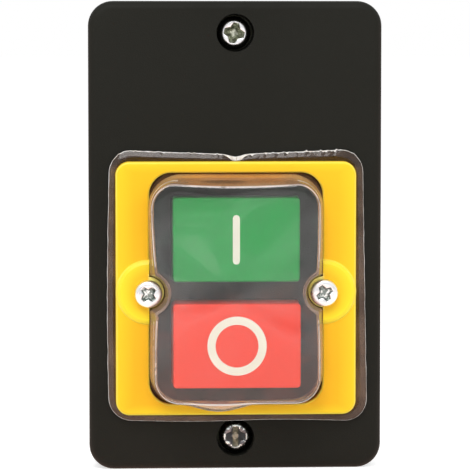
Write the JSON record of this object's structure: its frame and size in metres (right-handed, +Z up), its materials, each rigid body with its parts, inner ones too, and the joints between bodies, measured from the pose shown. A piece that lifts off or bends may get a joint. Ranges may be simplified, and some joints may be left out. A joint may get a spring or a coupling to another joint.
{
  "type": "pushbutton switch",
  "caption": "Flush-mounted start/stop pushbutton switch with a black front plate, a yellow clamping frame, a clear cover and a see-saw contact mechanism with screw terminals.",
  "frame": {"origin": "on the mounting face (the plate's rear rim), midway between the two mounting screws", "axes": "+Z up along the plate's height, +Y to the back, through the machine panel, so the front faces -Y, and +X to the right as seen from the front"},
  "size_m": [0.065, 0.0516, 0.104],
  "materials": {
    "black_moulding": "fine matte moulded grain",
    "clear_pvc": "clear, soft, slightly hazy",
    "yellow_moulding": "satin",
    "green_cap": "satin",
    "red_cap": "satin",
    "cream_inlay": "satin",
    "zinc_steel": "bright zinc",
    "steel_pin": "ground",
    "spring_steel": "drawn wire",
    "brass": "bright",
    "silver_contact": "bright",
    "dark_moulding": "semi-matte",
    "base_moulding": "semi-matte",
    "grey_moulding": "satin"
  },
  "bodies": {
    "housing": {"front_plate": "black_moulding", "mount_screws": "zinc_steel", "clear_cover": "clear_pvc", "clamp_frame": "yellow_moulding", "frame_screws": "zinc_steel", "screw_inserts": "brass", "switch_body": "dark_moulding", "switch_base": "base_moulding", "body_screws": "zinc_steel", "rocker_pin": "steel_pin", "fixed_contact_1": "silver_contact", "fixed_contact_2": "silver_contact", "fixed_contact_3": "silver_contact", "line_terminal_1": "brass", "line_terminal_2": "brass", "line_terminal_3": "brass", "load_terminal_1": "brass", "load_terminal_2": "brass", "load_terminal_3": "brass", "terminal_screws": "zinc_steel", "clamp_washers": "zinc_steel"},
    "stop_button": {"stop_cap": "red_cap", "stop_symbol": "cream_inlay"},
    "start_button": {"start_cap": "green_cap", "start_symbol": "cream_inlay"},
    "rocker": {"rocker": "grey_moulding", "plunger_1": "grey_moulding", "plunger_2": "grey_moulding", "plunger_3": "grey_moulding", "contact_spring_1": "spring_steel", "contact_spring_2": "spring_steel", "contact_spring_3": "spring_steel"},
    "contact_blades": {"contact_blade_1": "brass", "contact_blade_2": "brass", "contact_blade_3": "brass", "moving_contact_1": "silver_contact", "moving_contact_2": "silver_contact", "moving_contact_3": "silver_contact"}
  },
  "joints": [
    {"name": "stop_press", "type": "slide", "parent": "housing", "child": "stop_button", "axis": [0, 1, 0], "range_m": [0, 0.003]},
    {"name": "start_press", "type": "slide", "parent": "housing", "child": "start_button", "axis": [0, 1, 0], "range_m": [-0.003, 0]},
    {"name": "rocker_tilt", "type": "hinge", "parent": "housing", "child": "rocker", "pos_m": [0, 0.008, -0.0121], "axis": [1, 0, 0], "range_deg": [0, 14.87]},
    {"name": "blade_tilt", "type": "hinge", "parent": "housing", "child": "contact_blades", "pos_m": [0, 0.02125, -0.0121], "axis": [1, 0, 0], "range_deg": [-10, 0]}
  ],
  "couplings": [
    {"joint": "start_press", "follows": "stop_press", "ratio": -1},
    {"joint": "rocker_tilt", "follows": "stop_press", "rad_per_m": 86.449},
    {"joint": "blade_tilt", "follows": "stop_press", "rad_per_m": -58.177}
  ]
}
